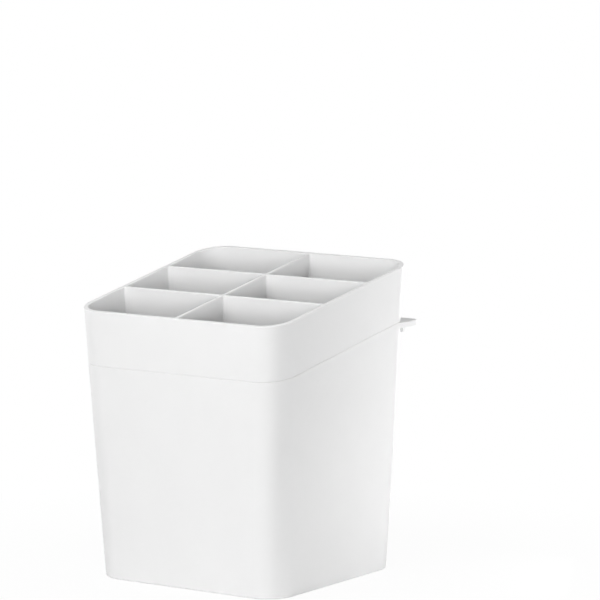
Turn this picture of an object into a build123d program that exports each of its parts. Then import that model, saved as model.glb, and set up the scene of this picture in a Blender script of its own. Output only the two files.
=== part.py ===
from build123d import *
import os
from math import radians, tan

os.makedirs("parts", exist_ok=True)

# A utensil holder in two mouldings: a tapered bin with a hook shelf behind it, and a
# lift-out insert of six cells whose collar carries the bin's walls up to a slanted rim.
# Lengths are in millimetres and angles in degrees. +Z is up, the front faces -Y, and
# the origin lies on the ground under the middle of the overall box.

# Outer form, shared by the bin and the collar above it
base_width = 135.0
base_depth = 132.5
corner_radius = 18.0
side_draft = 2.9
front_draft = 3.3
back_draft = 1.2

# Slanted rim, and the seam that runs parallel below it
front_height = 165.2
rim_slope = 10.0
band_height = 33.9

# Bin
bin_wall = 1.5
bin_floor = 2.4
base_edge_radius = 1.2
floor_edge_radius = 3.0

# Shelf behind the bin, and the lip that hooks over an edge
shelf_length = 27.0
shelf_overhang = 8.9
shelf_thickness = 3.5
shelf_corner_radius = 4.5
shelf_edge_radius = 0.4
lip_thickness = 1.8
lip_drop = 5.3
lip_end_inset = 10.3
lip_corner_radius = 1.6

# Insert
collar_wall = 3.0
skirt_clearance = 0.3
insert_foot_height = 112.0
divider_thickness = 2.0
cell_columns = 2
cell_rows = 3
cell_corner_radius = 1.0

# Edge roundings where the two mouldings meet, at the rim and under the skirt
seam_edge_radius = 0.5
rim_edge_radius = 0.5
skirt_edge_radius = 0.5

# Slopes as rise or lean per millimetre
rim_rise = tan(radians(rim_slope))
side_lean = tan(radians(side_draft))
front_lean = tan(radians(front_draft))
back_lean = tan(radians(back_draft))

# Heights: rim and seam over the front foot, rim at the back wall, level shelf top
rim_over_foot = front_height * (1 + rim_rise * front_lean)
seam_over_foot = rim_over_foot - band_height
back_height = (rim_over_foot + rim_rise * base_depth) / (1 - rim_rise * back_lean)
level_start = base_depth + shelf_overhang - shelf_length
shelf_top = (seam_over_foot + rim_rise * level_start) / (1 - rim_rise * back_lean)
shelf_underside = shelf_top - shelf_thickness

# Places along Y, with the overall box centred on the origin
reach_front = front_height * front_lean
reach_back = base_depth + shelf_top * back_lean + shelf_overhang
front_foot = (reach_front - reach_back) / 2
back_foot = front_foot + base_depth
shelf_end = front_foot + reach_back
level_line = shelf_end - shelf_length

# The skirt hangs inside the bin and keeps what the bin wall leaves of the collar's wall
skirt_inset = bin_wall + skirt_clearance

# Blanks and cutters run past the finished part
cut_margin = 10.0
blank_top = back_height + cut_margin
cut_front = front_foot - blank_top * front_lean - cut_margin
cut_back = shelf_end + cut_margin
cut_reach = base_width


def outer_walls(inset):
    """Left, right, front and back walls of the outer form, moved in by inset.

    A wall is its place on the ground and its lean per millimetre of height.
    """
    half_width = base_width / 2 - inset
    return [
        (-half_width, -side_lean),
        (half_width, side_lean),
        (front_foot + inset, -front_lean),
        (back_foot - inset, back_lean),
    ]


def place_at(wall, z):
    """Where a leaning wall is at height z."""
    place, lean = wall
    return place + lean * z


def walled_block(walls, bottom, top):
    """Solid between four leaning walls, from bottom to top, with sharp edges."""
    left, right, front, back = [
        [(place_at(wall, z), z) for z in (bottom, top)] for wall in walls
    ]
    with BuildPart() as block:
        with BuildSketch(Plane.XZ):
            with BuildLine():
                Polyline(left[0], right[0], right[1], left[1], close=True)
            make_face()
        extrude(amount=cut_back - cut_front, both=True)
        with BuildSketch(Plane.YZ):
            with BuildLine():
                Polyline(front[0], back[0], back[1], front[1], close=True)
            make_face()
        extrude(amount=cut_reach, both=True, mode=Mode.INTERSECT)
    return block.part


def rounded_form(inset, bottom):
    """The outer form moved in by inset, from bottom to the top of the blank."""
    with BuildPart() as form:
        add(walled_block(outer_walls(inset), bottom, blank_top))
        fillet(form.edges().filter_by(Plane.XY, reverse=True), corner_radius - inset)
    return form.part


def faces_towards(part, direction):
    """Faces that look mostly along +Z or -Z, slanted ones too."""
    return part.faces().filter_by(lambda face: face.normal_at().Z * direction > 0.9)


def edges_round(faces):
    """Edges round a group of faces, without the ones between two of the faces."""
    edges = [edge for face in faces for edge in face.edges()]
    return ShapeList(edge for edge in edges if edges.count(edge) == 1)


def seam_height(y):
    """Height of the slanted seam at y."""
    return seam_over_foot + rim_rise * (y - front_foot)


# Side view of all that lies under the seam: slanted up to the level line, then flat
with BuildSketch(Plane.YZ) as below_seam:
    with BuildLine():
        Polyline(
            (cut_front, -cut_margin),
            (cut_front, seam_height(cut_front)),
            (level_line, shelf_top),
            (cut_back, shelf_top),
            (cut_back, -cut_margin),
            close=True,
        )
    make_face()

# Side view of all that lies over the slanted rim
with BuildSketch(Plane.YZ) as above_rim:
    with BuildLine():
        Polyline(
            (cut_front, seam_height(cut_front) + band_height),
            (cut_back, seam_height(cut_back) + band_height),
            (cut_back, blank_top + cut_margin),
            (cut_front, blank_top + cut_margin),
            close=True,
        )
    make_face()

# Shelf blank, as wide as the side walls, which the seam later cuts level with the bin
outer_left, outer_right, outer_front, outer_back = outer_walls(0)
shelf_walls = [outer_left, outer_right, (level_line, 0), (shelf_end, 0)]
with BuildPart() as shelf_blank:
    add(walled_block(shelf_walls, shelf_underside, blank_top))
    far_corners = shelf_blank.edges().filter_by(Plane.XY, reverse=True).sort_by(Axis.Y)[-2:]
    fillet(far_corners, shelf_corner_radius)
    fillet(shelf_blank.faces().sort_by(Axis.Z)[0].edges(), shelf_edge_radius)

# Lower moulding: a tapered tub whose top edge widens behind into the shelf and its lip
lip_half_width = place_at(outer_right, shelf_underside) - lip_end_inset
lip_top = shelf_underside + shelf_thickness / 2
lip_bottom = shelf_underside - lip_drop
with BuildPart() as holder_bin:
    add(rounded_form(0, 0))
    fillet(holder_bin.faces().sort_by(Axis.Z)[0].edges(), base_edge_radius)
    add(shelf_blank.part)
    extrude(below_seam.sketch, amount=cut_reach, both=True, mode=Mode.INTERSECT)
    fillet(edges_round(faces_towards(holder_bin, 1)), seam_edge_radius)
    with BuildSketch(Plane.XZ.offset(-shelf_end)) as lip_face:
        with Locations((0, (lip_top + lip_bottom) / 2)):
            Rectangle(2 * lip_half_width, lip_top - lip_bottom)
        fillet(lip_face.vertices().sort_by(Axis.Y)[:2], lip_corner_radius)
    extrude(amount=lip_thickness)
    add(rounded_form(bin_wall, bin_floor), mode=Mode.SUBTRACT)
    tub_floor = holder_bin.faces().filter_by(Axis.Z).sort_by(Axis.Z)[1]
    fillet(tub_floor.edges(), floor_edge_radius)

holder_bin.part.label = "holder_bin"
export_step(holder_bin.part, "parts/holder_bin.step")


def clear_spans(count, low_wall, high_wall):
    """Equal spans between two walls, with dividers between them, where the insert ends."""
    low = place_at(low_wall, insert_foot_height)
    high = place_at(high_wall, insert_foot_height)
    clear = (high - low - (count - 1) * divider_thickness) / count
    starts = [low + index * (clear + divider_thickness) for index in range(count)]
    return [(start, start + clear) for start in starts]


inner_left, inner_right, inner_front, inner_back = outer_walls(collar_wall)
column_spans = clear_spans(cell_columns, inner_left, inner_right)
row_spans = clear_spans(cell_rows, inner_front, inner_back)


def cell_blank(column, row):
    """The hollow of one cell: its dividers stand upright and its outer walls lean."""
    left = (column_spans[column][0], 0) if column > 0 else inner_left
    right = (column_spans[column][1], 0) if column < cell_columns - 1 else inner_right
    front = (row_spans[row][0], 0) if row > 0 else inner_front
    back = (row_spans[row][1], 0) if row < cell_rows - 1 else inner_back
    at_holder_corner = column in (0, cell_columns - 1) and row in (0, cell_rows - 1)
    middle = (0, (front_foot + back_foot) / 2, insert_foot_height)
    with BuildPart() as cell:
        add(walled_block([left, right, front, back], insert_foot_height - cut_margin, blank_top))
        upright = cell.edges().filter_by(Plane.XY, reverse=True).sort_by_distance(middle)
        if at_holder_corner:
            fillet(upright[-1], corner_radius - collar_wall)
            upright = upright[:-1]
        fillet(upright, cell_corner_radius)
    return cell.part


# Upper moulding: collar flush with the bin, skirt inside it, and the crossed dividers
with BuildPart() as divider_insert:
    add(rounded_form(0, 0))
    extrude(below_seam.sketch, amount=cut_reach, both=True, mode=Mode.SUBTRACT)
    fillet(edges_round(faces_towards(divider_insert, -1)), seam_edge_radius)
    add(rounded_form(skirt_inset, insert_foot_height))
    fillet(divider_insert.faces().sort_by(Axis.Z)[0].edges(), skirt_edge_radius)
    extrude(above_rim.sketch, amount=cut_reach, both=True, mode=Mode.SUBTRACT)
    for column in range(cell_columns):
        for row in range(cell_rows):
            add(cell_blank(column, row), mode=Mode.SUBTRACT)
    fillet(edges_round(faces_towards(divider_insert, 1)), rim_edge_radius)

divider_insert.part.label = "divider_insert"
export_step(divider_insert.part, "parts/divider_insert.step")
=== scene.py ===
from math import cos, radians, sin

import bpy
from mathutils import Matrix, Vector

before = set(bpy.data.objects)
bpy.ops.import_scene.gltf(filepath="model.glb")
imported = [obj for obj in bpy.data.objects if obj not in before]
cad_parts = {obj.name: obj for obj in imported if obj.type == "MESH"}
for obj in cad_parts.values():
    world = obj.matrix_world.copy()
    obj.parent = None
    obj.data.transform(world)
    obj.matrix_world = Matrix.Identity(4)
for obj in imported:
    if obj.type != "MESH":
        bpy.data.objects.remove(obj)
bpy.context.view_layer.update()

# Holder bin, the lower moulding: a tapered tub with a hook shelf behind its top edge.
# The real one is white polypropylene, injection moulded in one shot in a finely eroded
# steel mould, and it carries the insert on the slanted top of its wall.


def linear(code):
    """An sRGB colour written as six hex digits, as linear red, green, blue and alpha."""
    channels = [int(code[start : start + 2], 16) / 255 for start in (0, 2, 4)]
    return [c / 12.92 if c <= 0.04045 else ((c + 0.055) / 1.055) ** 2.4 for c in channels] + [1]


def add_node(tree, kind, settings, links):
    """Adds one shader node. Settings are properties or input values, links feed its inputs.

    Inputs that share a name, as the two sides of a mix do, go by their number.
    """
    node = tree.nodes.new("ShaderNode" + kind)
    for name, value in settings.items():
        if isinstance(name, str) and hasattr(node, name):
            setattr(node, name, value)
        else:
            node.inputs[name].default_value = value
    for name, source in links.items():
        tree.links.new(source, node.inputs[name])
    return node


def moulded_polypropylene(name):
    """Polypropylene moulded against spark-eroded steel.

    The eroded steel leaves a fine grain, which makes the white satin with soft highlights.
    Melt that flows and cools unevenly clouds it a little, in colour and in gloss. The real
    grain is about 0.1 mm, and it is drawn at grain_size so that it shows at all.
    """
    refraction = 1.49
    duller_white = linear("EEEEEE")
    clearer_white = linear("F2F2F2")
    lowest_roughness = 0.5
    highest_roughness = 0.6
    cloud_size = 0.025
    cloud_detail = 3.0
    cloud_raggedness = 0.55
    grain_size = 0.0005
    grain_depth = 0.00002
    grain_strength = 0.1
    grain_detail = 2.0
    grain_raggedness = 0.6

    material = bpy.data.materials.new(name)
    material.use_nodes = True
    tree = material.node_tree
    tree.nodes.clear()
    place = add_node(tree, "TexCoord", {}, {}).outputs["Object"]

    cloud = add_node(
        tree,
        "TexNoise",
        {"Scale": 1 / cloud_size, "Detail": cloud_detail, "Roughness": cloud_raggedness},
        {"Vector": place},
    )
    colour = add_node(
        tree,
        "MixRGB",
        {1: duller_white, 2: clearer_white},
        {"Fac": cloud.outputs["Fac"]},
    )
    gloss = add_node(
        tree,
        "MapRange",
        {"To Min": lowest_roughness, "To Max": highest_roughness},
        {"Value": cloud.outputs["Fac"]},
    )
    grain = add_node(
        tree,
        "TexNoise",
        {"Scale": 1 / grain_size, "Detail": grain_detail, "Roughness": grain_raggedness},
        {"Vector": place},
    )
    bump = add_node(
        tree,
        "Bump",
        {"Strength": grain_strength, "Distance": grain_depth},
        {"Height": grain.outputs["Fac"]},
    )
    surface = add_node(
        tree,
        "BsdfPrincipled",
        {"IOR": refraction},
        {
            "Base Color": colour.outputs["Color"],
            "Roughness": gloss.outputs["Result"],
            "Normal": bump.outputs["Normal"],
        },
    )
    add_node(tree, "OutputMaterial", {}, {"Surface": surface.outputs["BSDF"]})
    return material


def finish_piece(piece, finish):
    """Gives one moulding of the frame its finish, in place of the one it came with."""
    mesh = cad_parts[piece].data
    mesh.materials.clear()
    mesh.materials.append(finish)


finish_piece("holder_bin", moulded_polypropylene("moulded polypropylene, bin"))

# Divider insert, the upper moulding: a collar flush with the bin, a skirt inside it and
# crossed dividers that make six cells. It is the same polypropylene as the bin, moulded
# by itself, and it only stands in the bin, so it lifts straight out.

finish_piece("divider_insert", moulded_polypropylene("moulded polypropylene, insert"))

# Floor and light: a white sweep and soft boxes, as in a product studio. The floor is as
# white as the backdrop to the camera, and only keeps a faint shadow round the base.

floor_size = 12.0

bpy.ops.mesh.primitive_plane_add(size=floor_size)
floor = bpy.context.object
floor.name = "floor"


def seen_directly(tree):
    """1 for what the camera, a reflection or glass sees, 0 for light on its way to a thing."""
    ray = add_node(tree, "LightPath", {}, {})
    seen = ray.outputs["Is Camera Ray"]
    for other in ("Is Glossy Ray", "Is Transmission Ray"):
        both = {0: seen, 1: ray.outputs[other]}
        seen = add_node(tree, "Math", {"operation": "MAXIMUM"}, both).outputs["Value"]
    return seen


# Near the base, shadow_share of the floor's look is lit paint, which takes the shadow,
# and the rest is plain white. Between shadow_core and shadow_reach from the middle, the
# paint's share fades out.
shadow_share = 0.06
shadow_core = 0.09
shadow_reach = 0.3
paint_white = linear("F4F4F4")
# A strength of 1 shows as plain white
white_strength = 1.0

sweep = bpy.data.materials.new("white painted sweep")
sweep.use_nodes = True
tree = sweep.node_tree
tree.nodes.clear()
place = add_node(tree, "TexCoord", {}, {}).outputs["Object"]
away = add_node(tree, "VectorMath", {"operation": "LENGTH"}, {0: place})
white_share = add_node(
    tree,
    "MapRange",
    {"From Min": shadow_core, "From Max": shadow_reach, "To Min": 1 - shadow_share, "To Max": 1},
    {"Value": away.outputs["Value"]},
)
white_seen = add_node(
    tree,
    "Math",
    {"operation": "MULTIPLY"},
    {0: seen_directly(tree), 1: white_share.outputs["Result"]},
)
paint = add_node(tree, "BsdfDiffuse", {"Color": paint_white}, {})
white = add_node(tree, "Emission", {"Strength": white_strength}, {})
shown = add_node(
    tree,
    "MixShader",
    {},
    {"Fac": white_seen.outputs["Value"], 1: paint.outputs["BSDF"], 2: white.outputs["Emission"]},
)
add_node(tree, "OutputMaterial", {}, {"Surface": shown.outputs["Shader"]})
floor.data.materials.append(sweep)

room_white = linear("FFFFFF")
fill_strength = 0.1

world = bpy.data.worlds.new("studio")
bpy.context.scene.world = world
world.use_nodes = True
tree = world.node_tree
tree.nodes.clear()
fill = add_node(tree, "Background", {"Strength": fill_strength, "Color": room_white}, {})
white = add_node(tree, "Background", {"Strength": white_strength, "Color": room_white}, {})
shown = add_node(
    tree,
    "MixShader",
    {},
    {"Fac": seen_directly(tree), 1: fill.outputs["Background"], 2: white.outputs["Background"]},
)
add_node(tree, "OutputWorld", {}, {"Surface": shown.outputs["Shader"]})


def direction(azimuth, elevation):
    """The way to something at that azimuth, to the right of the front, and elevation."""
    turn = radians(azimuth)
    rise = radians(elevation)
    return Vector((sin(turn) * cos(rise), -cos(turn) * cos(rise), sin(rise)))


def face(thing, target):
    """Turns a lamp or the camera at the target, with its top up."""
    thing.rotation_euler = (target - thing.location).to_track_quat("-Z", "Y").to_euler()


def area_lamp(name, location, target, size, watts):
    """A lamp of that width and height, which faces the target and isn't seen itself."""
    light = bpy.data.lights.new(name, "AREA")
    light.shape = "RECTANGLE"
    light.size, light.size_y = size
    light.energy = watts
    lamp = bpy.data.objects.new(name, light)
    bpy.context.scene.collection.objects.link(lamp)
    lamp.location = location
    lamp.visible_camera = False
    face(lamp, target)


holder_middle = 0.09


def soft_box(name, azimuth, elevation, distance, size, watts, aim=holder_middle):
    """A lamp at that azimuth and elevation from the height aim over the holder's middle."""
    target = Vector((0, 0, aim))
    area_lamp(name, target + distance * direction(azimuth, elevation), target, size, watts)


soft_box("right front soft box", 30, 5, distance=1.3, size=(0.7, 0.25), watts=6.5)
soft_box("left front soft box", -30, 12, distance=1.3, size=(0.7, 0.5), watts=0.57)
soft_box("raised left soft box", -30, 40, distance=0.8, size=(0.4, 0.3), watts=0.92)
soft_box("high soft box", 0, 64, distance=0.57, size=(0.3, 0.25), watts=1.3)
soft_box("side soft box", 120, 33, distance=0.48, size=(0.25, 0.25), watts=0.38)
soft_box("left soft box", -90, 4, distance=0.45, size=(0.2, 0.24), watts=0.38)
soft_box("back soft box", 188, 0, distance=0.7, size=(0.5, 0.12), watts=1.3)
soft_box("left back soft box", 225, 0, distance=0.7, size=(0.4, 0.12), watts=1.0)

# The side strips and the pool stand in for light that a bright sweep sends back to the
# right side and to the foot of the front.
soft_box("tall side strip", 118, 0, distance=0.22, size=(0.06, 0.2), watts=0.072, aim=0.135)
soft_box("low side strip", 118, 0, distance=0.2, size=(0.12, 0.04), watts=0.026, aim=0.025)

pool_place = Vector((0, -0.2, 0.003))
above_pool = pool_place + Vector((0, 0, 1))
pool_size = (0.12, 0.12)
area_lamp("pool of light before the front", pool_place, above_pool, pool_size, watts=0.0174)

# Camera: the photograph's view, a long lens from the front right and a little above.
# The angles are in degrees, and the lens in millimetres.

camera_azimuth = 34.257
camera_elevation = 7.504
camera_distance = 2.402
camera_aim = Vector((0.02729, 0.01680, 0.16850))
camera_lens = 236.05

camera = bpy.data.objects.new("camera", bpy.data.cameras.new("camera"))
bpy.context.scene.collection.objects.link(camera)
camera.location = camera_aim + camera_distance * direction(camera_azimuth, camera_elevation)
face(camera, camera_aim)
camera.data.lens = camera_lens
bpy.context.scene.camera = camera
bpy.context.scene.view_settings.view_transform = "Standard"
